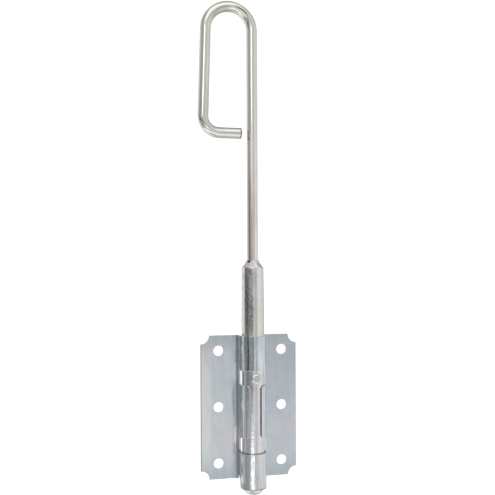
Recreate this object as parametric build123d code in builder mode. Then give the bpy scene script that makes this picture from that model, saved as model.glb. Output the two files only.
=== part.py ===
from build123d import *
from math import cos, radians, sin
import os

# Long-handled shoot bolt for a door or gate, in bright zinc-plated steel.
# The frame: X to the right, Z up along the bolt, -Y away from the door.
# The origin is the middle of the screw-hole pattern, on the plate's back face.

# Bolt bar: a round bar, drawn in a little above the plate, with a sloped shoulder and a domed lower end
bar_diameter = 13.8
bar_length = 141.4
neck_diameter = 13.1
neck_length = 36.0
shoulder_rise = 3.4
tip_round = 6.0
tip_projection = 4.3
bar_standoff = 1.4

# Handle rod: one round rod, set into the bar and bent into a long open loop
rod_diameter = 6.5
socket_depth = 14.0
socket_clearance = 0.05
weld_leg = 0.6
handle_reach = 157.5
loop_depth = 76.4
loop_bend_radius = 14.3
loop_lean = 1.8
hook_bend_radius = 9.8
hook_gap = 3.65
rod_end_chamfer = 0.4

# Stop lug: a round stud that stands out of the bar and locks behind the ears
lug_diameter = 6.5
lug_reach = 9.5
lug_round = 1.4
lug_seat_gap = 0.1

# Mounting plate: one sheet, folded over the bar into a barrel between two flanges
sheet = 0.9
plate_height = 88.0
hole_diameter = 6.2
hole_spacing = 40.0
hole_pitch = 34.5
left_margin = 11.0
right_margin = 9.5
scallop_radius = 5.3
bend_radius = 2.2
barrel_clearance = 0.1
skirt_drop = 4.2
skirt_notch = 3.2

# Barrel cut-outs, from the top down: strap, window, pair of ears, window, strap
top_strap = 20.9
window_height = 8.8
ear_length = 31.9
ear_round = 2.6
slot_clearance = 0.35
window_corner = 1.0
window_floor_rise = 1.5

# Sizes and levels that follow from those
bar_radius = bar_diameter / 2
neck_radius = neck_diameter / 2
rod_radius = rod_diameter / 2
axis_height = bar_radius + bar_standoff
barrel_inside = bar_radius + barrel_clearance
barrel_outside = barrel_inside + sheet
root_radius = bend_radius + sheet
left_edge = -hole_spacing / 2 - left_margin
right_edge = hole_spacing / 2 + right_margin
plate_top = plate_height / 2
plate_bottom = -plate_height / 2
barrel_bottom = plate_bottom - skirt_drop
upper_window_level = plate_top - top_strap - window_height / 2
throw = window_height + ear_length
lower_window_level = upper_window_level - throw
window_floor = root_radius + window_floor_rise
slot_width = lug_diameter + 2 * slot_clearance
bar_bottom = barrel_bottom - tip_projection
bar_top = bar_bottom + bar_length
socket_bottom = bar_top - socket_depth
loop_top = bar_top + handle_reach - rod_radius
hook_level = loop_top - loop_depth
hook_end = -rod_radius - hook_gap

# The upright plane through the bolt's axis, and the axis itself
bolt_plane = Plane.XZ.offset(axis_height)
bolt_axis = Axis((0, -axis_height, 0), (0, 0, 1))

# Mounting plate: the folded section, drawn along its back and thickened to the front
with BuildPart() as mounting_plate:
    with BuildSketch(Plane.XY.offset(barrel_bottom)):
        with BuildLine():
            left_flange = Line((left_edge, 0), (-barrel_inside - root_radius, 0))
            left_root = JernArc(left_flange @ 1, left_flange % 1, root_radius, -90)
            left_wall = Line(left_root @ 1, (-barrel_inside, -axis_height))
            crown = JernArc(left_wall @ 1, left_wall % 1, barrel_inside, 180)
            right_wall = Line(crown @ 1, (barrel_inside, -root_radius))
            right_root = JernArc(right_wall @ 1, right_wall % 1, root_radius, -90)
            Line(right_root @ 1, (right_edge, 0))
            offset(amount=sheet, side=Side.RIGHT)
        make_face()
    extrude(amount=plate_top - barrel_bottom)

    # Below the flanges only the barrel runs on, as a skirt whose walls curve away to the front
    with BuildSketch(Plane.YZ):
        with Locations((0, barrel_bottom)):
            Rectangle(2 * root_radius, 2 * skirt_drop)
    extrude(amount=right_edge - left_edge, both=True, mode=Mode.SUBTRACT)
    with BuildSketch(Plane.YZ):
        with Locations((0, barrel_bottom)):
            Circle(skirt_drop + skirt_notch)
    extrude(amount=barrel_outside, both=True, mode=Mode.SUBTRACT)

    # The bayonet opening: a window above the ears, one below, and the slot that joins them
    with BuildSketch(Plane.XZ.offset(window_floor)) as bayonet:
        with Locations((0, upper_window_level), (0, lower_window_level)):
            Rectangle(3 * barrel_outside, window_height)
        with Locations((0, (upper_window_level + lower_window_level) / 2)):
            Rectangle(slot_width, throw)
        ear_corners = bayonet.vertices().filter_by_position(Axis.X, -slot_width / 2, slot_width / 2)
        fillet(ear_corners, ear_round)
    extrude(amount=axis_height + barrel_outside, mode=Mode.SUBTRACT)
    notch_edges = mounting_plate.edges().filter_by(Axis.X)
    fillet(notch_edges.filter_by_position(Axis.Y, -window_floor, -window_floor), window_corner)

    # Scalloped outer corners
    with BuildSketch(Plane.XZ):
        with Locations((left_edge, plate_top), (left_edge, plate_bottom)):
            Circle(scallop_radius)
        with Locations((right_edge, plate_top), (right_edge, plate_bottom)):
            Circle(scallop_radius)
    extrude(amount=sheet, mode=Mode.SUBTRACT)

    # Six plain screw holes
    with BuildSketch(Plane.XZ):
        with GridLocations(hole_spacing, hole_pitch, 2, 3):
            Circle(hole_diameter / 2)
    extrude(amount=sheet, mode=Mode.SUBTRACT)
mounting_plate.part.label = "mounting_plate"

# Bolt bar: turned, with a blind socket for the rod and the weld that holds it there
with BuildPart() as bolt_bar:
    with BuildSketch(bolt_plane):
        with BuildLine():
            Polyline(
                (0, bar_bottom),
                (bar_radius, bar_bottom),
                (bar_radius, bar_top - neck_length),
                (neck_radius, bar_top - shoulder_rise),
                (rod_radius + socket_clearance + weld_leg, bar_top),
                (rod_radius + socket_clearance, bar_top + weld_leg),
                (rod_radius + socket_clearance, socket_bottom),
                (0, socket_bottom),
                close=True,
            )
        make_face()
    revolve(axis=bolt_axis)
    fillet(bolt_bar.faces().sort_by(Axis.Z)[0].edges(), tip_round)
bolt_bar.part.label = "bolt_bar"

# Handle rod: straight up out of the socket, over the top bend, down and back in the hook
with BuildPart() as handle_rod:
    with BuildLine(bolt_plane) as rod_path:
        lean_rise = sin(radians(loop_lean))
        limb_drop = loop_depth - loop_bend_radius * (1 - lean_rise) - hook_bend_radius * (1 + lean_rise)
        shank = Line((0, socket_bottom), (0, loop_top - loop_bend_radius))
        top_bend = JernArc(shank @ 1, shank % 1, loop_bend_radius, 180 - loop_lean)
        limb = PolarLine(top_bend @ 1, limb_drop / cos(radians(loop_lean)), -90 - loop_lean)
        hook_bend = JernArc(limb @ 1, limb % 1, hook_bend_radius, 90 + loop_lean)
        Line(hook_bend @ 1, (hook_end, hook_level))
    with BuildSketch(Plane(origin=rod_path.line @ 0, z_dir=rod_path.line % 0)):
        Circle(rod_radius)
    sweep(path=rod_path.line)
    chamfer(handle_rod.faces().filter_by(Axis.X).edges(), rod_end_chamfer)
handle_rod.part.label = "handle_rod"

# Stop lug: a round stud with a rounded end, its base saddled to the bar
with BuildPart() as stop_lug:
    with BuildSketch(bolt_plane):
        with Locations((0, upper_window_level)):
            Circle(lug_diameter / 2)
    extrude(amount=lug_reach)
    fillet(stop_lug.faces().sort_by(Axis.Y)[0].edges(), lug_round)
    with Locations((0, -axis_height, upper_window_level)):
        Cylinder(bar_radius + lug_seat_gap, 2 * lug_diameter, mode=Mode.SUBTRACT)
stop_lug.part.label = "stop_lug"

os.makedirs("parts", exist_ok=True)
export_step(mounting_plate.part, "parts/mounting_plate.step")
export_step(bolt_bar.part, "parts/bolt_bar.step")
export_step(handle_rod.part, "parts/handle_rod.step")
export_step(stop_lug.part, "parts/stop_lug.step")
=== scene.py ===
import math

import bmesh
import bpy
import numpy as np
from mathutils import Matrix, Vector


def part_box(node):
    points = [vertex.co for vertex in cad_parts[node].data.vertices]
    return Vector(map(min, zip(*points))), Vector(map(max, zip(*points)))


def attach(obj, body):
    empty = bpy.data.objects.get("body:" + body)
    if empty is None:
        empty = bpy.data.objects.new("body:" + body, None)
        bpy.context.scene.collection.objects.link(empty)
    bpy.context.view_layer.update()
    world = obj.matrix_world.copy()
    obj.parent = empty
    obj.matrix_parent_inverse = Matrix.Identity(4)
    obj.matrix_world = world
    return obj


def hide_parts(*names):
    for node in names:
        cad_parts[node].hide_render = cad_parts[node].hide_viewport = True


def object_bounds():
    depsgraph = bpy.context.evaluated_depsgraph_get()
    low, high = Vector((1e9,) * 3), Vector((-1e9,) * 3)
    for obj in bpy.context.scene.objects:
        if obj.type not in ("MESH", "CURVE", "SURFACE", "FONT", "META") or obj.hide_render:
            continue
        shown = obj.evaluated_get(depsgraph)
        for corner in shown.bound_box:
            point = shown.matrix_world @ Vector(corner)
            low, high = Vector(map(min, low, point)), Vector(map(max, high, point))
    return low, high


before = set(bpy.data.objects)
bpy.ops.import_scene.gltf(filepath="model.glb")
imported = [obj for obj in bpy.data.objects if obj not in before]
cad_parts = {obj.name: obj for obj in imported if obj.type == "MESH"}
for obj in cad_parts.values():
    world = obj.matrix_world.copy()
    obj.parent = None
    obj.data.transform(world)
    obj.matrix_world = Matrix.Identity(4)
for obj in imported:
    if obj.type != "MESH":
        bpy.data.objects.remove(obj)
cad_low, cad_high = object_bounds()


# Mounting plate: one steel sheet, stamped and folded over the bar, then plated in bright
# zinc. The flanges keep a satin rolled skin with a faint bloom; the barrel is burnished by
# the folding tools, still shows their marks, and mirrors the room.
class Shade:
    """A shader socket that Python arithmetic works on: every operator adds one Math node."""

    def __init__(self, tree, socket=None):
        self.tree = tree
        self.socket = socket

    def feed(self, port, value):
        """Links a shade to a port, or sets the port to a plain value."""
        if isinstance(value, Shade):
            self.tree.links.new(value.socket, port)
        else:
            port.default_value = value

    def maths(self, operation, first, second):
        """One Math node on two shades or numbers."""
        return self.node("ShaderNodeMath", {"operation": operation}, _0=first, _1=second)

    def __add__(self, other):
        return self.maths("ADD", self, other)

    def __radd__(self, other):
        return self.maths("ADD", other, self)

    def __sub__(self, other):
        return self.maths("SUBTRACT", self, other)

    def __rsub__(self, other):
        return self.maths("SUBTRACT", other, self)

    def __mul__(self, other):
        return self.maths("MULTIPLY", self, other)

    def __rmul__(self, other):
        return self.maths("MULTIPLY", other, self)

    def __abs__(self):
        return self.maths("ABSOLUTE", self, 0.0)

    def node(self, kind, settings=None, output=0, **ports):
        """Any other node: its settings go first, then each named socket's value or link.
        A port name has _ for a space, or _ and a number; stops are a ramp's (place, colour) pairs."""
        made = self.tree.nodes.new(kind)
        for name, value in (settings or {}).items():
            if name == "stops":
                ramp = made.color_ramp
                while len(ramp.elements) < len(value):
                    ramp.elements.new(1.0)
                for element, (position, colour) in zip(ramp.elements, value):
                    element.position = position
                    element.color = colour
            else:
                setattr(made, name, value)
        for name, value in ports.items():
            key = int(name[1:]) if name[0] == "_" else name.replace("_", " ")
            self.feed(made.inputs[key], value)
        return Shade(self.tree, made.outputs[output])

    def vectors(self, operation, first, second, output=0):
        """One Vector Math node; a distance or a dot product is its output 1."""
        return self.node("ShaderNodeVectorMath", {"operation": operation}, output, _0=first, _1=second)

    def coordinate(self, vector, axis):
        """One of a vector's three coordinates."""
        return self.node("ShaderNodeSeparateXYZ", output=axis, Vector=vector)

    def noise(self, vector, scale, detail=2.0, roughness=0.5):
        """Noise over a vector; three scales stretch it by a different amount along each axis."""
        if isinstance(scale, tuple):
            vector = self.node("ShaderNodeMapping", Vector=vector, Scale=scale)
            scale = 1.0
        return self.node(
            "ShaderNodeTexNoise", Vector=vector, Scale=scale, Detail=detail, Roughness=roughness
        )

    def blend(self, amount, first, second):
        """A colour between two others, by a shade that is held between 0 and 1."""
        return self.node(
            "ShaderNodeMix", {"data_type": "RGBA", "clamp_factor": True}, output=2,
            _0=amount, _6=first, _7=second,
        )

    def step(self, value, none, full):
        """A smooth step: 0 where the value is at none, 1 where it is at full."""
        return self.node(
            "ShaderNodeMapRange", {"interpolation_type": "SMOOTHSTEP"},
            Value=value, From_Min=none, From_Max=full,
        )

    def band(self, value, start, full, fade, end):
        """A smooth band: 1 where the value lies from full to fade, 0 outside start and end."""
        return self.step(value, start, full) * self.step(value, end, fade)

    def line(self, offset, half_width, reach):
        """A smooth line along offset 0: 1 up to the half width to either side, 0 past the reach."""
        return self.step(abs(offset), reach, half_width)


def surface(name, metallic):
    """A new material: returns it, a shade on its node tree and its Principled shader."""
    made = bpy.data.materials.new(name)
    made.use_nodes = True
    shader = made.node_tree.nodes["Principled BSDF"]
    shader.inputs["Metallic"].default_value = metallic
    return made, Shade(made.node_tree), shader


zinc_sheet, pen, metal = surface("zinc_sheet", metallic=1.0)
place = pen.node("ShaderNodeTexCoord", output=3)
across, depth, height = [pen.coordinate(place, axis) for axis in range(3)]
off_axis = abs(across)
from_middle = abs(height)
cloud = pen.noise(place, 85.0, detail=4.0, roughness=0.6)
bloom = pen.noise(place, 38.0)
grain = pen.noise(place, 520.0, roughness=0.6)
score = pen.noise(place, (1000.0, 1000.0, 22.0), roughness=0.6)

# Flanges: clouds of bloom, a darker bluer tone towards both ends and at the upper right, and a
# painted highlight along the left margin. On the pieces a fade is a (none, full) pair of places
# in metres, and a band is (start, full, fade, end).
sheet_silver = (0.72, 0.76, 0.79, 1)
sheet_blue_bloom = (0.60, 0.68, 0.77, 1)
sheet_pink_bloom = (0.77, 0.74, 0.77, 1)
sheet_green_bloom = (0.66, 0.75, 0.73, 1)
sheet_darker_blue = (0.54, 0.61, 0.65, 1)
sheet_painted_highlight = (0.87, 0.88, 0.89, 1)
blue_threshold = 0.42
pink_threshold = 0.50
green_threshold = 0.46
cloud_contrast = 4.0
bloom_contrast = 4.5
plate_end = 0.044
end_fade = (plate_end - 0.014, plate_end)
right_fade = (0.006, 0.010)
upper_fade = (-0.012, 0.030)
upper_right_darkening_share = 0.45
margin_fade = (-0.0215, -0.0285)
margin_length_fade = (plate_end - 0.004, plate_end - 0.028)
cool = pen.blend((cloud - blue_threshold) * cloud_contrast, sheet_silver, sheet_blue_bloom)
warm = pen.blend((bloom - pink_threshold) * bloom_contrast, cool, sheet_pink_bloom)
clouded = pen.blend((green_threshold - bloom) * bloom_contrast, warm, sheet_green_bloom)
end_darkening = pen.step(from_middle, *end_fade) * (0.5 + 0.6 * bloom)
upper_right_darkening = upper_right_darkening_share * pen.step(across, *right_fade) * pen.step(height, *upper_fade)
darkened_tone = pen.blend(pen.maths("MAXIMUM", end_darkening, upper_right_darkening), clouded, sheet_darker_blue)
# Painted highlight: the left margin is drawn lighter where it catches the light.
painted_margin_highlight = pen.step(across, *margin_fade) * (0.3 + 0.9 * cloud) * pen.step(from_middle, *margin_length_fade)
margin_highlighted = pen.blend(painted_margin_highlight, darkened_tone, sheet_painted_highlight)

# Painted shadow: a dark strip of the barrel's shade on the flat beside the left fold, ragged
# along its edge, drawn back towards both ends, and nearly broken by two bright gaps
sheet_painted_shadow = (0.42, 0.48, 0.54, 1)
strip_fade = (-0.0118, -0.0102)
strip_wander = 0.006
strip_narrowings = [(0.0011, (0.016, 0.024)), (0.0005, (-0.020, -0.028))]
left_fade = (0.0, -0.004)
fold_front = -0.0026
fold_back = -0.0015
gap_levels = (0.0212, -0.0172)
gap_fade = (0.0029, 0.0069)
gap_wander = 0.004
gap_shadow_share = 0.15
strip_side = across - strip_wander * (cloud - 0.5)
for narrowing, narrowing_fade in strip_narrowings:
    strip_side = strip_side - narrowing * pen.step(height, *narrowing_fade)
# Painted shadow of the barrel on the left flange, lighter at the two gaps.
painted_fold_shadow = pen.step(strip_side, *strip_fade) * pen.step(across, *left_fade)
painted_fold_shadow = painted_fold_shadow * pen.step(depth, fold_front, fold_back)
for gap_level in gap_levels:
    from_gap = abs(height - gap_level) - gap_wander * (cloud - 0.5)
    painted_fold_shadow = painted_fold_shadow * (gap_shadow_share + (1 - gap_shadow_share) * pen.step(from_gap, *gap_fade))
fold_shadowed = pen.blend(painted_fold_shadow, margin_highlighted, sheet_painted_shadow)

# Barrel: a painted highlight on the left wall with a painted shade line along its front,
# painted shade on the flanks, and a painted highlight along a ridge to each side of the crown
sheet_painted_shade = (0.33, 0.37, 0.41, 1)
sheet_ridge_highlight = (0.95, 0.96, 0.97, 1)
left_wall_fade = (-0.0069, -0.0076)
left_face_fade = (-0.0076, -0.0078)
crown_fade = (-0.0093, -0.0101)
wall_highlight_band = (-0.0093, -0.0081, fold_front, fold_back)
wall_line_band = (-0.0101, -0.0093, -0.0080, -0.0070)
above_skirt_fade = (-0.0458, -0.0446)
flank_fade = (0.0072, 0.0075)
flank_share = 0.7
ridge_middle = -0.0006
ridge_offset = 0.0065
ridge_line = (0.0003, 0.0007)
# Painted highlight: the left wall is drawn pale where it catches the light.
painted_wall_highlight = pen.step(across, *left_wall_fade) * pen.band(depth, *wall_highlight_band)
painted_wall_highlight = painted_wall_highlight * pen.step(height, *above_skirt_fade)
# Painted shade: a dark line along the front of the left wall.
painted_wall_shade_line = pen.step(across, *left_face_fade) * pen.band(depth, *wall_line_band)
forward = pen.step(depth, *crown_fade)
# Painted shade on both flanks of the barrel.
painted_flank_shade = forward * pen.step(off_axis, *flank_fade)
# Painted highlight along a ridge to each side of the crown.
painted_ridge_highlight = forward * pen.line(abs(across - ridge_middle) - ridge_offset, *ridge_line)
pale = pen.blend(painted_wall_highlight, fold_shadowed, sheet_painted_highlight)
walled = pen.blend(painted_wall_shade_line, pale, sheet_painted_shade)
flanked = pen.blend(flank_share * painted_flank_shade, walled, sheet_painted_shade)
ridge_highlighted = pen.blend(painted_ridge_highlight, flanked, sheet_ridge_highlight)

# Straps and ears: a greyer bottom strap, a darker bluer right ear, lengthwise scores all over,
# two painted dark reflection lines down the top strap, and painted shade on the skirt's left side
sheet_grey = (0.64, 0.655, 0.67, 1)
sheet_scored = (0.42, 0.46, 0.48, 1)
sheet_painted_dark_reflection = (0.21, 0.23, 0.25, 1)
barrel_fade = (-0.0018, -0.0036)
bottom_strap_rim = -0.0264
bottom_strap_fade = (bottom_strap_rim + 0.001, bottom_strap_rim - 0.001)
bottom_strap_share = 0.8
slot_middle = -0.0017
slot_length_fade = (0.0238, 0.0236)
right_ear_fade = (0.0040, 0.0050)
right_ear_share = 0.6
score_threshold = 0.55
score_contrast = 7.0
top_strap_fade = (0.0231, 0.0243)
outer_reflection_line = -0.0046
outer_reflection_slant = 0.018
outer_reflection_wander = 0.0012
outer_reflection_width = (0.0002, 0.0006)
inner_reflection_line = -0.0017
inner_reflection_wander = 0.0010
inner_reflection_width = (0.0003, 0.0008)
inner_reflection_share = 0.6
skirt_fade = (-0.0440, -0.0452)
skirt_left_fade = (-0.0058, -0.0070)
skirt_share = 0.8
barrel = pen.step(depth, *barrel_fade)
on_bottom_strap = barrel * pen.step(height, *bottom_strap_fade)
greyed = pen.blend(bottom_strap_share * on_bottom_strap, ridge_highlighted, sheet_grey)
in_slot = pen.step(abs(height - slot_middle), *slot_length_fade)
right_ear = barrel * in_slot * pen.step(across, *right_ear_fade)
eared = pen.blend(right_ear_share * right_ear, greyed, sheet_darker_blue)
scored = pen.blend(barrel * (score - score_threshold) * score_contrast, eared, sheet_scored)
on_top_strap = barrel * pen.step(height, *top_strap_fade)
# Painted reflection: two dark lines of the dim room drawn down the top strap.
off_outer_reflection = across - outer_reflection_line + outer_reflection_slant * (height - plate_end)
outer_reflection_mark = pen.line(off_outer_reflection + outer_reflection_wander * (cloud - 0.5), *outer_reflection_width)
off_inner_reflection = across - inner_reflection_line + inner_reflection_wander * (cloud - 0.5)
inner_reflection_mark = inner_reflection_share * pen.line(off_inner_reflection, *inner_reflection_width)
reflection_lined = pen.blend(on_top_strap * pen.maths("MAXIMUM", outer_reflection_mark, inner_reflection_mark), scored, sheet_painted_dark_reflection)
# Painted shade on the left side of the skirt.
painted_skirt_shade = barrel * pen.step(height, *skirt_fade) * pen.step(across, *skirt_left_fade)
skirted = pen.blend(skirt_share * painted_skirt_shade, reflection_lined, sheet_painted_shade)

# Cut edges: bare sheared metal round the slot, and painted shade as dark rims on the bottom
# strap, the skirt and the left flange
sheet_sheared = (0.62, 0.63, 0.65, 1)
sheet_shaded = (0.30, 0.33, 0.36, 1)
slot_side_fade = (0.0040, 0.0038)
strap_rim_line = (0.0003, 0.0006)
left_rim_fade = (-0.0304, -0.0308)
skirt_rim_fade = (-0.0472, -0.0478)
sheared = in_slot * pen.step(off_axis, *slot_side_fade)
cut = pen.blend(sheared, skirted, sheet_sheared)
# Painted shade: dark lines at the bottom strap's rim, the skirt's lower edge and the left flange's edge.
strap_rim = barrel * pen.line(height - bottom_strap_rim, *strap_rim_line)
skirt_rim = barrel * pen.step(height, *skirt_rim_fade)
barrel_rim_shade = pen.maths("MAXIMUM", strap_rim, skirt_rim)
painted_rim_shade = pen.maths("MAXIMUM", barrel_rim_shade, pen.step(across, *left_rim_fade))
pen.feed(metal.inputs["Base Color"], pen.blend(painted_rim_shade, cut, sheet_shaded))

# Sheen and dents: each zone has its own roughness over the satin of the flanges. Long waves
# and grain lie all over, scores and ripples on the barrel, and every edge is a little round
satin_least = 0.12
satin_cloud = 0.12
satin_grain = 0.08
barrel_roughness = 0.08
dull_roughness = 0.34
wall_highlight_roughness = 0.38
ridge_roughness = 0.22
sheared_roughness = 0.42
grain_height = 0.10
score_height = 0.9
ripple_height = 0.8
edge_round = 0.0004
dent_strength = 0.22
dent_depth = 0.0006
sheen = satin_least + satin_cloud * cloud + satin_grain * grain
sheen_zones = [
    (barrel, barrel_roughness), (painted_fold_shadow, dull_roughness), (painted_wall_highlight, wall_highlight_roughness),
    (painted_ridge_highlight, ridge_roughness), (sheared, sheared_roughness),
]
for zone, zone_roughness in sheen_zones:
    sheen = sheen + zone * (zone_roughness - sheen)
pen.feed(metal.inputs["Roughness"], sheen)
wave = pen.noise(place, (300.0, 300.0, 60.0))
ripple = pen.noise(place, (800.0, 800.0, 300.0))
relief = wave + grain_height * grain + barrel * (score_height * score + ripple_height * ripple)
rim = pen.node("ShaderNodeBevel", {"samples": 8}, Radius=edge_round)
dent = pen.node("ShaderNodeBump", Strength=dent_strength, Distance=dent_depth, Height=relief, Normal=rim)
pen.feed(metal.inputs["Normal"], dent)
plate_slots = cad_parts["mounting_plate"].data.materials
plate_slots.clear()
plate_slots.append(zinc_sheet)


# Bolt bar: a round steel bar that slides and turns in the barrel. It is drawn in a little
# towards its sloped shoulder, domed at the lower end, and zinc-plated over a drawn skin
# that shows lengthwise streaks and a worn and pitted side, with a painted shade spot by the weld.
def rounded(corners, radii, steps):
    """An outline with its corners rounded: each corner gives way to a circular arc of its own
    radius, tangent to both of its sides. The arc is a rational quadratic from side to side,
    weighted by the sine of half the corner's angle."""
    corners = np.asarray(corners, float)
    radii = np.asarray(radii, float)[:, None]
    before = corners[:-2] - corners[1:-1]
    after = corners[2:] - corners[1:-1]
    before = before / np.linalg.norm(before, axis=1, keepdims=True)
    after = after / np.linalg.norm(after, axis=1, keepdims=True)
    half_angle = np.arccos(np.clip((before * after).sum(axis=1, keepdims=True), -1, 1)) / 2
    reach = radii / np.tan(half_angle)
    start, end = corners[1:-1] + before * reach, corners[1:-1] + after * reach
    t = np.linspace(0, 1, steps)[None, :, None]
    pull = 2 * t * (1 - t) * np.sin(half_angle)[:, None]
    bows = (1 - t) ** 2 * start[:, None] + pull * corners[1:-1, None] + t ** 2 * end[:, None]
    bows = bows / ((1 - t) ** 2 + pull + t ** 2)
    return np.vstack([corners[:1], bows.reshape(-1, 2), corners[-1:]])


def finer(outline, longest):
    """An outline with points added by straight interpolation, so that no side is over a length."""
    sides = np.linalg.norm(np.diff(outline, axis=0), axis=1)
    counts = np.maximum(np.ceil(sides / longest).astype(int), 1)
    run = np.concatenate([[0.0], np.cumsum(sides)])
    starts = np.repeat(run[:-1], counts)
    steps = np.repeat(sides / counts, counts)
    order = np.arange(counts.sum()) - np.repeat(np.cumsum(counts) - counts, counts)
    places = np.append(starts + order * steps, run[-1])
    return np.column_stack([np.interp(places, run, outline[:, i]) for i in (0, 1)])


def placed(name, data):
    """A new object from a mesh or a lens, put into the scene."""
    made = bpy.data.objects.new(name, data)
    bpy.context.scene.collection.objects.link(made)
    return made


def wrapped(name, grid, run, metal_skin):
    """A closed piece from a grid of points: rows go along it, columns go round it and meet.
    Its UV map holds the run of each row in metres and the share of the turn."""
    rows, columns = grid.shape[:2]
    row, column = np.meshgrid(np.arange(rows - 1), np.arange(columns), indexing="ij")
    after = (column + 1) % columns
    near, far = row * columns, (row + 1) * columns
    quads = np.stack([near + column, near + after, far + after, far + column], axis=-1).reshape(-1, 4)
    share = np.stack([column, column + 1, column + 1, column], axis=-1) / columns
    along = np.stack([run[row], run[row], run[row + 1], run[row + 1]], axis=-1)
    mesh = bpy.data.meshes.new(name)
    mesh.from_pydata(grid.reshape(-1, 3).tolist(), [], quads.tolist())
    mesh.uv_layers.new(name="skin").data.foreach_set("uv", np.stack([along, share], axis=-1).ravel())
    welded = bmesh.new()
    welded.from_mesh(mesh)
    bmesh.ops.remove_doubles(welded, verts=welded.verts, dist=1e-7)
    bmesh.ops.recalc_face_normals(welded, faces=welded.faces)
    welded.to_mesh(mesh)
    welded.free()
    mesh.polygons.foreach_set("use_smooth", np.ones(len(mesh.polygons), bool))
    mesh.materials.append(metal_skin)
    return placed(name, mesh)


def turned(name, outline, axis_x, axis_y, columns, metal_skin):
    """A surface of revolution: every (radius, height) of the outline is carried once round the
    upright axis, x = axis + radius cos, y = axis + radius sin, z = height."""
    angle = np.linspace(0, 2 * np.pi, columns, endpoint=False)
    radius, height = outline[:, :1], outline[:, 1:]
    grid = np.stack(
        [axis_x + radius * np.cos(angle), axis_y + radius * np.sin(angle), height + 0 * angle], axis=-1
    )
    run = np.concatenate([[0.0], np.cumsum(np.linalg.norm(np.diff(outline, axis=0), axis=1))])
    return wrapped(name, grid, run, metal_skin)


bar_low, bar_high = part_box("bolt_bar")
bolt_x = (bar_low.x + bar_high.x) / 2
bolt_y = (bar_low.y + bar_high.y) / 2
bar_radius = (bar_high.x - bar_low.x) / 2
neck_radius = 0.00655
neck_length = 0.036
neck_foot_round = 0.002
shoulder_rise = 0.0034
shoulder_round = 0.0006
tip_round = 0.006
weld_leg = 0.0006
weld_radius = 0.0033
weld_seat_round = 0.0003
socket_round = 0.0001
bar_top = bar_high.z - weld_leg
shoulder_foot = bar_top - shoulder_rise

# Plating of the bar: pale streaks, a lilac cast where the plate shelters it, a cream lower
# neck, and patches of violet and slate
bar_silver = (0.72, 0.71, 0.69, 1)
bar_pale_streak = (0.82, 0.80, 0.77, 1)
bar_cream = (0.73, 0.73, 0.68, 1)
bar_lilac = (0.71, 0.70, 0.735, 1)
bar_violet = (0.64, 0.55, 0.59, 1)
bar_slate = (0.56, 0.60, 0.63, 1)
streak_threshold = 0.42
streak_contrast = 4.0
lower_neck_band = (0.030, 0.040, 0.058, 0.070)
lower_neck_share = 0.7
sheltered_band = (-0.047, -0.042, 0.012, 0.026)
sheltered_share = 0.8
upper_neck_fade = (0.060, 0.074)
violet_threshold = 0.54
upper_neck_violet = 4.0
sheltered_violet = 1.6
slate_threshold = 0.46
slate_contrast = 4.0
zinc_bar, pen, metal = surface("zinc_bar", metallic=1.0)
place = pen.node("ShaderNodeTexCoord", output=3)
across = pen.coordinate(place, 0)
height = pen.coordinate(place, 2)
streak = pen.noise(place, (1500.0, 1500.0, 55.0), detail=3.0, roughness=0.6)
fleck = pen.noise(place, (1700.0, 1700.0, 700.0), roughness=0.65)
patch = pen.noise(place, 120.0)
tint = pen.noise(place, 170.0)
lower_neck = pen.band(height, *lower_neck_band)
sheltered = pen.band(height, *sheltered_band)
upper_neck = pen.step(height, *upper_neck_fade)
streaked = pen.blend((streak - streak_threshold) * streak_contrast, bar_silver, bar_pale_streak)
cream = pen.blend(lower_neck_share * lower_neck, streaked, bar_cream)
lilac = pen.blend(sheltered_share * sheltered, cream, bar_lilac)
violet_reach = upper_neck_violet * upper_neck + sheltered_violet * sheltered
violet = pen.blend((tint - violet_threshold) * violet_reach, lilac, bar_violet)
slate = pen.blend((slate_threshold - tint) * slate_contrast, violet, bar_slate)

# Worn left side of the neck, with flecks and pits that are brown near the shoulder, blue
# below it and grey at the foot, and a painted shade spot at the left of the weld root
bar_brown_pit = (0.37, 0.31, 0.34, 1)
bar_blue_pit = (0.15, 0.21, 0.29, 1)
bar_grey_pit = (0.33, 0.33, 0.34, 1)
bar_painted_shade = (0.09, 0.08, 0.07, 1)
worn_length_band = (0.042, 0.060, shoulder_foot - 0.0015, shoulder_foot)
worn_side_band = (-0.0063, -0.0056, -0.0018, -0.0004)
worn_least = 0.08
streaky_pit_fade = (0.070, 0.079)
deeper_pit_fade = (0.078, 0.068)
deeper_pit_share = 0.06
pit_patch_share = 0.6
pit_streak_share = 0.25
pit_threshold = 0.86
pit_contrast = 4.5
blue_pit_fade = (0.079, 0.065)
grey_pit_fade = (0.064, 0.050)
weld_shade_place = (-0.0030, bolt_y - 0.0026, bar_top + 0.0003)
weld_shade_fade = (0.0014, 0.0006)
bar_roughness = 0.03
patch_roughness = 0.07
streak_height = 0.25
fleck_height = 0.2
worn_fleck_height = 0.5
worn_band = pen.band(across, *worn_side_band) * pen.band(height, *worn_length_band)
worn_side = worn_least + (1 - worn_least) * worn_band
speck = fleck + pen.step(height, *streaky_pit_fade) * (streak - fleck)
deeper = deeper_pit_share * pen.step(height, *deeper_pit_fade)
pit_depth = speck + pit_patch_share * patch + pit_streak_share * streak + deeper
pitted = (pit_depth - pit_threshold) * pit_contrast
upper_pit = pen.blend(pen.step(height, *blue_pit_fade), bar_brown_pit, bar_blue_pit)
pit = pen.blend(pen.step(height, *grey_pit_fade), upper_pit, bar_grey_pit)
worn = pen.blend(pitted * worn_side, slate, pit)
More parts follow.
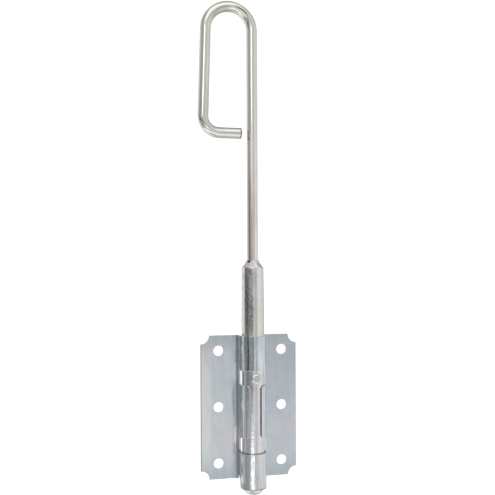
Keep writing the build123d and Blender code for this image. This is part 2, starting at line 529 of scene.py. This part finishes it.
# Painted shade: a near-black spot in the corner at the left of the weld root.
from_weld_shade = pen.vectors("DISTANCE", place, weld_shade_place, output=1)
pen.feed(metal.inputs["Base Color"], pen.blend(pen.step(from_weld_shade, *weld_shade_fade), worn, bar_painted_shade))
pen.feed(metal.inputs["Roughness"], bar_roughness + patch_roughness * patch)
bar_relief = streak_height * streak + fleck * (fleck_height + worn_fleck_height * worn_side)
pits = pen.node("ShaderNodeBump", Strength=0.36, Distance=0.0004, Height=bar_relief)
pen.feed(metal.inputs["Normal"], pits)

bar_outline = rounded(
    [
        (0.0, bar_low.z), (bar_radius, bar_low.z), (bar_radius, bar_top - neck_length),
        (neck_radius, shoulder_foot), (weld_radius + weld_leg, bar_top),
        (weld_radius, bar_top), (weld_radius, shoulder_foot), (0.0, shoulder_foot),
    ],
    [tip_round, neck_foot_round, shoulder_round, weld_seat_round, socket_round, socket_round],
    steps=12,
)
longest_bar_side = 0.0015
bar_outline = finer(bar_outline, longest_bar_side)
bar = turned("bar", bar_outline, bolt_x, bolt_y, columns=96, metal_skin=zinc_bar)
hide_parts("bolt_bar")
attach(bar, "bolt")


# Stop lug: a short round stud of the same bar stock, welded to the front of the bar. It runs
# in the slot between the ears and turns into either window, where it holds the bolt.
lug_low, lug_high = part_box("stop_lug")
lug_radius = (lug_high.x - lug_low.x) / 2
lug_level = (lug_low.z + lug_high.z) / 2
lug_tip_depth = lug_low.y
lug_round = 0.0014
seat_gap = 0.0001
seat_radius = bar_radius + seat_gap
seat_rings = 8
wall_rings = 5
rim_rings = 9
cap_rings = 6


def studded(name, columns, metal_skin):
    """A stud along -Y: its wall rises straight from a saddle that follows the bar's round,
    depth = axis - root of (seat radius squared - x squared), and turns over a rounded rim to
    a flat end; the saddle itself is closed by the same formula at smaller radii."""
    angle = np.linspace(0, 2 * np.pi, columns, endpoint=False)[None, :]
    seat = np.linspace(0, 1, seat_rings)[:, None] * lug_radius
    straight = np.linspace(0, 1, wall_rings)[1:, None]
    rim = np.linspace(0, np.pi / 2, rim_rings)[:, None]
    cap = np.linspace(1, 0, cap_rings)[1:, None] * (lug_radius - lug_round)
    seat_depth = bolt_y - np.sqrt(seat_radius ** 2 - (seat * np.cos(angle)) ** 2)
    wall_top = lug_tip_depth + lug_round
    radius = np.vstack(
        [seat, 0 * straight + lug_radius, lug_radius - lug_round * (1 - np.cos(rim)), cap]
    )
    level = np.vstack(
        [
            seat_depth, seat_depth[-1:] + straight * (wall_top - seat_depth[-1:]),
            wall_top - lug_round * np.sin(rim) + 0 * angle, lug_tip_depth + 0 * cap + 0 * angle,
        ]
    )
    grid = np.stack([bolt_x + radius * np.cos(angle), level, lug_level + radius * np.sin(angle)], axis=-1)
    return wrapped(name, grid, radius[:, 0], metal_skin)


lug = studded("lug", columns=64, metal_skin=zinc_bar)
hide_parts("stop_lug")
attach(lug, "handle")


# Handle rod: one length of drawn round rod, set into the bar and bent cold round two formers
# into a long open loop that ends in a sheared hook. Bright zinc over a smooth drawn skin,
# pressed by the former in the top bend, with a painted dark reflection line there.
rod_low, rod_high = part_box("handle_rod")
rod_radius = (rod_high.y - rod_low.y) / 2
loop_bend_radius = 0.0143
hook_bend_radius = 0.0098
loop_lean = math.radians(1.8)
loop_depth = 0.0764
hook_gap = 0.00365
end_round = 0.0005
bend_flattening = 0.025
straight_step = 0.002
bend_step = 0.0006
end_face_ring = 0.6
end_rim_rings = 6
loop_top = rod_high.z - rod_radius
hook_level = loop_top - loop_depth


def rod_centreline():
    """The rod's middle line in the bolt's upright plane: up the shank, over the top bend, down
    the leaning limb, round the hook bend and back level. A bend is a circular arc, centre plus
    radius times (cos, sin). Returns places, headings, run and how far into a bend each place is."""
    top_centre = np.array([bolt_x - loop_bend_radius, loop_top - loop_bend_radius])
    sweep_top = np.arange(0, math.pi - loop_lean, bend_step / loop_bend_radius)
    top = top_centre + loop_bend_radius * np.stack([np.cos(sweep_top), np.sin(sweep_top)], axis=1)
    limb_top = top_centre + loop_bend_radius * np.array([-math.cos(loop_lean), math.sin(loop_lean)])
    limb_heading = np.array([-math.sin(loop_lean), -math.cos(loop_lean)])
    inward = np.array([math.cos(loop_lean), -math.sin(loop_lean)])
    hook_rise = hook_bend_radius * (1 + math.sin(loop_lean))
    limb_length = (limb_top[1] - hook_level - hook_rise) / math.cos(loop_lean)
    limb = limb_top + np.arange(0, limb_length, straight_step)[:, None] * limb_heading
    hook_centre = limb_top + limb_length * limb_heading + hook_bend_radius * inward
    hook_turn = math.pi / 2 + loop_lean
    sweep_hook = np.arange(0, hook_turn, bend_step / hook_bend_radius) + math.pi - loop_lean
    hook = hook_centre + hook_bend_radius * np.stack([np.cos(sweep_hook), np.sin(sweep_hook)], axis=1)
    hook_end = bolt_x - rod_radius - hook_gap
    back_run = np.arange(hook_centre[0], hook_end, straight_step)
    back = np.stack([back_run, 0 * back_run + hook_level], axis=1)
    shank_heights = np.arange(rod_low.z, top_centre[1], straight_step)
    shank = np.stack([0 * shank_heights + bolt_x, shank_heights], axis=1)
    last = np.array([[hook_end, hook_level]])
    places = np.vstack([shank, top, limb, hook, back, last])
    run = np.concatenate([[0.0], np.cumsum(np.linalg.norm(np.diff(places, axis=0), axis=1))])
    headings = np.gradient(places, run, axis=0)
    headings[-1] = (1, 0)
    headings /= np.linalg.norm(headings, axis=1, keepdims=True)
    in_hook = np.sin(math.pi * (sweep_hook - sweep_hook[0]) / hook_turn)
    bent = np.concatenate(
        [0 * shank_heights, np.sin(sweep_top), 0 * limb[:, 0], in_hook, 0 * back_run, [0.0]]
    )
    return places, headings, run, bent


def bent_rod(name, columns, metal_skin):
    """A round profile carried along the middle line: point = place + across (side cos + out sin),
    with side in the loop's plane and out along -Y; a bend is pressed a little flat in its plane.
    Each end turns over a small rounded rim to a flat face."""
    places, headings, run, bent = rod_centreline()
    rim = np.linspace(0, np.pi / 2, end_rim_rings)
    shrink = np.concatenate([[0.0, end_face_ring], 1 - (1 - np.sin(rim)) * end_round / rod_radius])
    drawn_in = np.concatenate([[0.0, 0.0], end_round * (1 - np.cos(rim))])
    first = places[0] + drawn_in[:, None] * headings[0]
    last = (places[-1] - drawn_in[:, None] * headings[-1])[::-1]
    inside = (run > 2 * end_round) & (run < run[-1] - 2 * end_round)
    line = np.vstack([first, places[inside], last])
    heading = np.vstack(
        [np.repeat(headings[:1], len(first), 0), headings[inside], np.repeat(headings[-1:], len(last), 0)]
    )
    width = np.concatenate([shrink, np.ones(inside.sum()), shrink[::-1]]) * rod_radius
    press = np.concatenate([0 * shrink, bent[inside], 0 * shrink]) * bend_flattening
    length = np.concatenate([0 * shrink + run[0], run[inside], 0 * shrink + run[-1]])
    angle = np.linspace(0, 2 * np.pi, columns, endpoint=False)[None, :]
    side = np.stack([-heading[:, 1], heading[:, 0]], axis=1)
    across = (width * (1 - press))[:, None] * np.cos(angle)
    out = width[:, None] * np.sin(angle)
    grid = np.stack(
        [line[:, :1] + side[:, :1] * across, bolt_y - out, line[:, 1:] + side[:, 1:] * across], axis=-1
    )
    return wrapped(name, grid, length, metal_skin)


# Plating of the rod: silver above, rosy to ruddy down the shank, with painted shade in violet
# down its left side low on the shank, and olive streaks all along
rod_silver = (0.73, 0.725, 0.665, 1)
rod_rose = (0.79, 0.75, 0.74, 1)
rod_ruddy = (0.77, 0.66, 0.65, 1)
rod_violet_mottle_and_shade = (0.47, 0.45, 0.49, 1)
rod_olive = (0.58, 0.58, 0.48, 1)
rose_fade = (0.19, 0.14)
ruddy_fade = (0.150, 0.108)
ruddy_side_fade = (0.0019, -0.0004)
left_shade_fade = (0.19, 0.12)
left_shade_side_fade = (-0.0019, -0.0027)
left_shade_share = 0.55
olive_threshold = 1.02
olive_contrast = 2.4
zinc_rod, pen, metal = surface("zinc_rod", metallic=1.0)
skin = pen.node("ShaderNodeUVMap", {"uv_map": "skin"})
along = pen.coordinate(skin, 0)
share = pen.coordinate(skin, 1)
place = pen.node("ShaderNodeTexCoord", output=3)
across = pen.coordinate(place, 0)
height = pen.coordinate(place, 2)
streak = pen.noise(skin, (60.0, 26.0, 1.0), detail=3.0, roughness=0.55)
patch = pen.noise(place, 42.0)
mottle = pen.noise(place, 600.0)
rosy = pen.blend(pen.step(height, *rose_fade), rod_silver, rod_rose)
ruddy_side = pen.step(height, *ruddy_fade) * pen.step(across, *ruddy_side_fade)
ruddy = pen.blend(ruddy_side, rosy, rod_ruddy)
# Painted shade: the left side of the lower shank is drawn darker and violet.
painted_left_shade = pen.step(height, *left_shade_fade) * pen.step(across, *left_shade_side_fade)
tinted = pen.blend(left_shade_share * painted_left_shade, ruddy, rod_violet_mottle_and_shade)
olive = pen.blend((streak + patch - olive_threshold) * olive_contrast, tinted, rod_olive)

# Marks of bending and cutting: mottling inside the hook, the former's press in the top bend with
# a painted dark reflection line along it, and a bare rim at the sheared end. Bands run along the rod
# in metres; the fades to the inside and the dark line's own place are shares of the turn round it.
rod_pressed = (0.52, 0.50, 0.45, 1)
rod_bare_and_dark_reflection = (0.22, 0.21, 0.17, 1)
rod_length = rod_centreline()[2][-1]
shank_length = loop_top - loop_bend_radius - rod_low.z
hook_band = (rod_length - 0.024, rod_length - 0.019, rod_length - 0.013, rod_length - 0.009)
hook_inside_fade = (0.24, 0.18)
mottle_threshold = 0.42
mottle_contrast = 5.0
press_band = (shank_length + 0.0205, shank_length + 0.0245, shank_length + 0.0330, shank_length + 0.0430)
press_inside_fade = (0.228, 0.200)
dark_streak_band = (shank_length + 0.0085, shank_length + 0.0125, shank_length + 0.0160, shank_length + 0.0210)
dark_streak_turn = 0.245
dark_streak_wander = 0.03
dark_streak_width = (0.012, 0.034)
cut_fade = (rod_length - 0.0008, rod_length - 0.0004)
cut_rim_fade = (0.0026, 0.0029)
rod_roughness = 0.03
streak_roughness = 0.09
pressed_roughness = 0.20
hook_inside = pen.band(along, *hook_band) * pen.step(share, *hook_inside_fade)
mottled = pen.blend(hook_inside * (mottle - mottle_threshold) * mottle_contrast, olive, rod_violet_mottle_and_shade)
pressed_in = pen.band(along, *press_band) * pen.step(share, *press_inside_fade)
pressed = pen.blend(pressed_in, mottled, rod_pressed)
# Painted reflection: a thin dark line of the dim room along the top bend.
off_front = share - dark_streak_turn + dark_streak_wander * (streak - 0.5)
painted_dark_streak = pen.line(off_front, *dark_streak_width) * pen.band(along, *dark_streak_band)
dark_streaked = pen.blend(painted_dark_streak, pressed, rod_bare_and_dark_reflection)
upright_place = pen.vectors("MULTIPLY", place, (0.0, 1.0, 1.0))
off_hook = pen.vectors("DISTANCE", upright_place, (0.0, bolt_y, hook_level), output=1)
cut_rim = pen.step(along, *cut_fade) * pen.step(off_hook, *cut_rim_fade)
pen.feed(metal.inputs["Base Color"], pen.blend(cut_rim, dark_streaked, rod_bare_and_dark_reflection))
rod_sheen = rod_roughness + streak_roughness * streak + pressed_roughness * pressed_in
pen.feed(metal.inputs["Roughness"], rod_sheen)
drawn_lines = pen.node("ShaderNodeBump", Strength=0.06, Distance=0.0003, Height=streak)
pen.feed(metal.inputs["Normal"], drawn_lines)
rod = bent_rod("rod", columns=64, metal_skin=zinc_rod)
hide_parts("handle_rod")
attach(rod, "handle")


# Root weld: a small bead run round the rod where it leaves the bar's shoulder, plated over
# with the rest. Its ripples come from the pulses of the weld.
bead_swell = 1.30
bead_ripple = 0.16
bead_ripple_count = 9
bead_ripple_start = 0.6
bead_fine_ripple = 0.09
bead_fine_ripple_count = 16
bead_offset = 0.00012


def bead(name, rows, columns, metal_skin):
    """A ring swept round the rod: its section is a round of the bead's own size, and the size
    swells and sinks round the turn t by two sines, size = leg (swell + ripple sin (count t + start)
    + fine ripple sin (fine count t))."""
    angle = np.linspace(0, 2 * np.pi, columns, endpoint=False)[None, :]
    section = np.linspace(0, 2 * np.pi, rows)[:, None]
    ripple = bead_ripple * np.sin(bead_ripple_count * angle + bead_ripple_start)
    fine_ripple = bead_fine_ripple * np.sin(bead_fine_ripple_count * angle)
    size = weld_leg * (bead_swell + ripple + fine_ripple)
    radius = weld_radius + bead_offset + size * np.cos(section)
    level = bar_top + size * np.sin(section)
    grid = np.stack(
        [bolt_x + radius * np.cos(angle), bolt_y + radius * np.sin(angle), level], axis=-1
    )
    return wrapped(name, grid, section[:, 0], metal_skin)


weld = bead("root_weld", rows=17, columns=128, metal_skin=zinc_bar)
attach(weld, "bolt")


# Studio: a pale floor, low enough for the thrown bolt, and a plain white backdrop all round,
# with soft light that comes mostly from the right and from above, and a dim left side.
camera_yaw = math.radians(14.0)
towards_camera = (-math.sin(camera_yaw), -math.cos(camera_yaw), 0.0)
camera_right = (math.cos(camera_yaw), -math.sin(camera_yaw), 0.0)
world = bpy.data.worlds.new("studio")
bpy.context.scene.world = world
world.use_nodes = True
pen = Shade(world.node_tree)
ray = pen.node("ShaderNodeTexCoord", output=0)
aside = pen.vectors("DOT_PRODUCT", ray, camera_right, output=1)
ahead = pen.vectors("DOT_PRODUCT", ray, towards_camera, output=1)
rise = pen.coordinate(ray, 2)
turn = pen.maths("ARCTAN2", aside, ahead) * (0.5 / math.pi) + 0.5


def round_the_room(levels):
    """Brightness round the upright axis, from (degrees to the right of the camera, level) pairs."""
    stops = [((degrees + 180) / 360, (level, level, level, 1)) for degrees, level in levels]
    return pen.node("ShaderNodeValToRGB", {"stops": stops}, Fac=turn)


def strip(start, full, fade, end):
    """A strip of the room that is lit from full to fade and dark outside start and end, in degrees."""
    return round_the_room([(-180, 0.0), (start, 0.0), (full, 1.0), (fade, 1.0), (end, 0.0), (180, 0.0)])


# Walls: dim in front and to the left, bright to the right and at the far left, paler towards
# ceiling and table, and dimmed high up at the back
walls = round_the_room([
    (-180, 0.42), (-164, 0.48), (-148, 0.80), (-134, 0.92), (-102, 0.90), (-92, 0.45), (-82, 0.20),
    (-68, 0.18), (-60, 0.14), (-52, 0.18), (-42, 0.25), (-30, 0.30), (-16, 0.32), (-1, 0.32),
    (5, 0.60), (10, 0.80), (18, 0.78), (24, 0.65), (29, 0.58), (36, 0.55), (41, 0.62), (48, 0.84),
    (68, 0.95), (90, 0.90), (108, 0.80), (124, 0.86), (140, 0.66), (156, 0.44), (180, 0.42),
])
upper_wall_level = 0.70
upper_wall_share = 0.52
upper_wall_rise = (-0.05, 0.34)
low_wall_level = 1.0
low_wall_share = 0.30
low_wall_rise = (-0.13, -0.20)
back_dimming = 0.24
back_fade = (0.0, -0.25)
back_rise = (0.34, 0.55)
light = walls + (upper_wall_level - walls) * (upper_wall_share * pen.step(rise, *upper_wall_rise))
light = light + (low_wall_level - light) * (low_wall_share * pen.step(rise, *low_wall_rise))
light = light - back_dimming * pen.step(ahead, *back_fade) * pen.step(rise, *back_rise)

# Soft lights: each has a strength, a strip of the room and a band of the ray's rise
left_strip = strip(-96, -82, -68, -58)
wide_strip = strip(-62, -46, -1, 7)
high_strip = strip(-22, -18, 0, 4)
low_strip = strip(-22, -17, 3, 8)
soft_lights = [
    (0.28, wide_strip, (0.100, 0.148, 0.155, 0.200)),
    (0.19, wide_strip, (-0.015, 0.015, 0.08, 0.16)),
    (0.15, wide_strip, (-0.118, -0.092, -0.056, -0.038)),
    (0.12, left_strip, (-0.19, -0.15, -0.10, -0.07)),
    (1.60, high_strip, (0.14, 0.24, 0.32, 0.40)),
    (0.34, high_strip, (0.060, 0.100, 0.135, 0.175)),
    (0.544, low_strip, (-0.34, -0.30, -0.23, -0.17)),
    (1.156, low_strip, (-0.34, -0.30, -0.254, -0.238)),
]
for strength, lit_strip, rise_band in soft_lights:
    light = light + strength * lit_strip * pen.band(rise, *rise_band)

# Ceiling and table top: bright panels above and below, in front of the plate
front_fade = (-0.14, 0.06)
ceiling_level = 1.32
ceiling_rise = (0.30, 0.50)
ceiling_side_band = (-0.58, -0.22, 0.34, 0.66)
ceiling_fall = 0.50
ceiling_fall_rise = (0.86, 0.96)
table_level = 1.25
table_rise_band = (-0.94, -0.82, -0.66, -0.52)
in_front = pen.step(ahead, *front_fade)
ceiling = pen.step(rise, *ceiling_rise) * in_front * pen.band(aside, *ceiling_side_band)
ceiling_light = ceiling_level - ceiling_fall * pen.step(rise, *ceiling_fall_rise)
table_top = pen.band(rise, *table_rise_band) * in_front
light = light + ceiling * (ceiling_light - light)
light = light + table_top * (table_level - light)
pen.feed(world.node_tree.nodes["Background"].inputs["Color"], light)

floor_reach = 6.0
floor_clearance = 0.002
bolt_throw = 0.0407
floor_level = cad_low.z - bolt_throw - floor_clearance
floor_corners = [(-1, -1), (1, -1), (1, 1), (-1, 1)]
floor_pale = (0.9, 0.9, 0.9, 1)
floor_glow = 0.5
floor_white, pen, paint = surface("floor_white", metallic=0.0)
pen.feed(paint.inputs["Base Color"], floor_pale)
pen.feed(paint.inputs["Roughness"], 1.0)
pen.feed(paint.inputs["Emission Color"], (1, 1, 1, 1))
pen.feed(paint.inputs["Emission Strength"], floor_glow)
floor_mesh = bpy.data.meshes.new("floor")
floor_mesh.from_pydata(
    [(floor_reach * x, floor_reach * y, floor_level) for x, y in floor_corners], [], [(0, 1, 2, 3)]
)
floor_mesh.materials.append(floor_white)
floor = placed("floor", floor_mesh)
floor.visible_glossy = False

backdrop_radius = 5.0
backdrop_strength = 1.08
backdrop_white = bpy.data.materials.new("backdrop_white")
backdrop_white.use_nodes = True
pen = Shade(backdrop_white.node_tree)
white_light = pen.node("ShaderNodeEmission", Color=(1, 1, 1, 1), Strength=backdrop_strength)
pen.feed(backdrop_white.node_tree.nodes["Material Output"].inputs["Surface"], white_light)
shell = bmesh.new()
bmesh.ops.create_uvsphere(shell, u_segments=48, v_segments=24, radius=backdrop_radius)
backdrop_mesh = bpy.data.meshes.new("backdrop")
shell.to_mesh(backdrop_mesh)
shell.free()
backdrop_mesh.materials.append(backdrop_white)
backdrop = placed("backdrop", backdrop_mesh)
backdrop.visible_diffuse = False
backdrop.visible_glossy = False
backdrop.visible_shadow = False


# Camera: a little to the left of the plate's front, level with the bar's shoulder, and far
# enough off for a short telephoto view.
image_side = 495
focal_pixels = 750.0
camera_distance = 0.4565
camera_height = 0.0856
axis_column = 252.6
horizon_row = 267.3
camera_roll = 0.0042
lens = bpy.data.cameras.new("camera")
lens.sensor_width = 36.0
lens.lens = lens.sensor_width * focal_pixels / image_side
lens.shift_y = (horizon_row - image_side / 2) / image_side
camera = placed("camera", lens)
camera_x = bolt_x + camera_distance * towards_camera[0]
camera_y = bolt_y + camera_distance * towards_camera[1]
camera.location = (camera_x, camera_y, camera_height)
aim = camera_yaw - math.atan((axis_column - image_side / 2) / focal_pixels)
camera.rotation_euler = (math.pi / 2, camera_roll, -aim)
bpy.context.scene.camera = camera
bpy.context.scene.view_settings.view_transform = "Standard"
